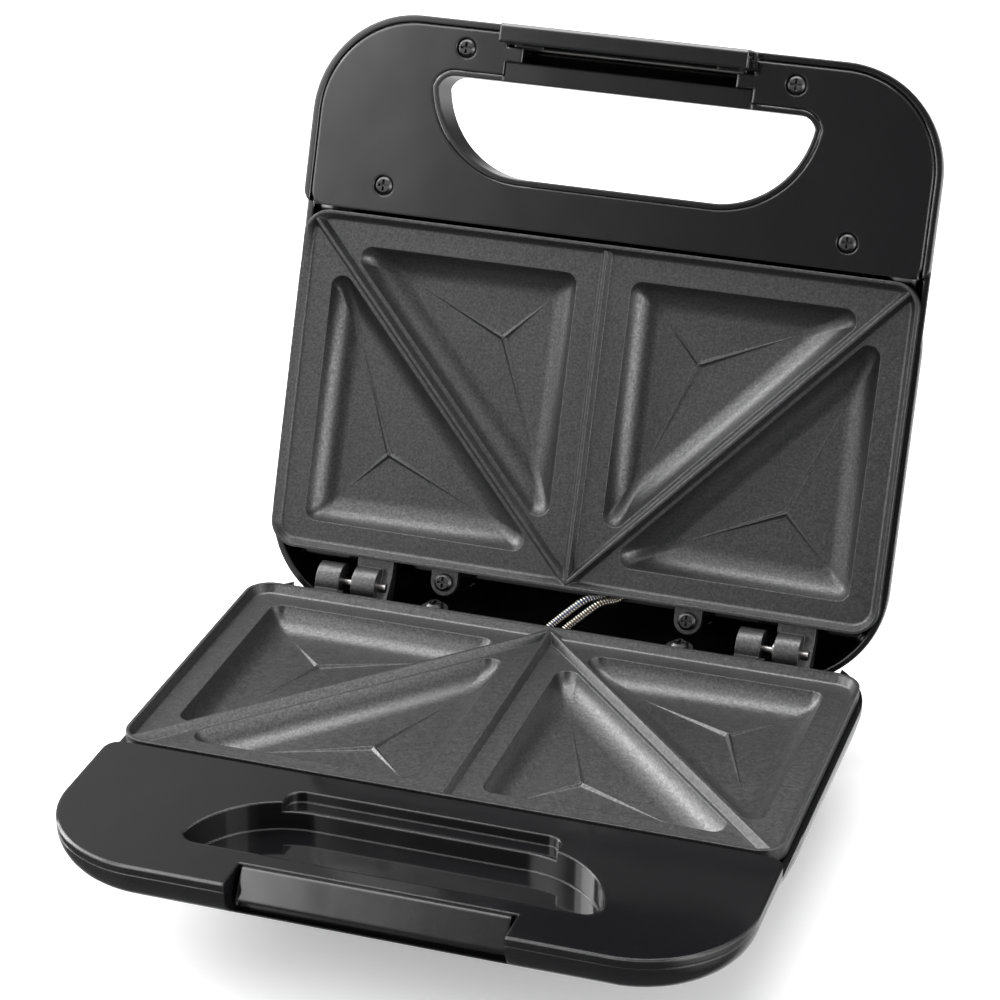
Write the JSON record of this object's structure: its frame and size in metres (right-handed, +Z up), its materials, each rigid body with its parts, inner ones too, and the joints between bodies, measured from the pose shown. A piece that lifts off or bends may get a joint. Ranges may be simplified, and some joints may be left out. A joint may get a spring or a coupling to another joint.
{
  "type": "sandwich toaster",
  "caption": "Electric sandwich toaster with hinged lid, ridged triangular pocket plates and a snap latch on the handle, standing open.",
  "frame": {"origin": "centre of the bounding box's footprint, on the surface it stands on, lid open", "axes": "+X to the right seen from the front, +Y to the hinge side, +Z up; the handles point to -Y"},
  "size_m": [0.2202, 0.2778, 0.232],
  "materials": {
    "housing": "gloss",
    "coated_plate": "satin non-stick coating",
    "zinc_screws": "zinc plated",
    "dark_screws": "blackened",
    "pin_steel": "satin",
    "rubber": "matte",
    "element": "matte",
    "sheet": "mill finish",
    "ceramic": "matte",
    "brass": "satin",
    "block": "matte",
    "lead_blue": "matte",
    "lead_brown": "matte",
    "lens_red": "clear gloss",
    "lens_green": "clear gloss",
    "lamp_glass": "clear",
    "nickel": "bright nickel"
  },
  "bodies": {
    "base": {"base_shell": "housing", "base_handle_cover": "housing", "base_cover_screws": "zinc_screws", "rubber_feet": "rubber", "cord_gland": "rubber", "lower_plate": "coated_plate", "lower_plate_screws": "dark_screws", "lower_heater": "element", "lower_reflector": "sheet", "lower_reflector_screws": "zinc_screws", "thermostat": "ceramic", "thermostat_screws": "zinc_screws", "thermal_fuse": "brass", "terminal_block": "block", "thermostat_wire": "lead_brown", "neutral_wire": "lead_blue", "live_wire": "lead_brown", "hinge_pins": "pin_steel", "pin_clips": "pin_steel", "left_wire_spring": "nickel", "right_wire_spring": "nickel", "left_lid_wire": "lead_blue", "right_lid_wire": "lead_brown"},
    "lid": {"lid_shell": "housing", "lid_handle_cover": "housing", "lid_cover_screws": "dark_screws", "upper_plate": "coated_plate", "upper_plate_screws": "dark_screws", "upper_heater": "element", "upper_reflector": "sheet", "upper_reflector_screws": "zinc_screws", "power_lens": "lens_red", "ready_lens": "lens_green", "neon_lamps": "lamp_glass", "lamp_holder": "block", "latch_pin": "pin_steel"},
    "latch": {"latch_clip": "housing"}
  },
  "joints": [
    {"name": "lid_hinge", "type": "hinge", "parent": "base", "child": "lid", "pos_m": [0, 0.0586, 0.0436], "axis": [1, 0, 0], "range_deg": [0, 110.4], "deforming": ["left_wire_spring", "right_wire_spring", "left_lid_wire", "right_lid_wire"]},
    {"name": "latch_hinge", "type": "hinge", "parent": "lid", "child": "latch", "pos_m": [0, 0.13663, 0.21783], "axis": [1, 0, 0], "range_deg": [-22, 0]}
  ]
}
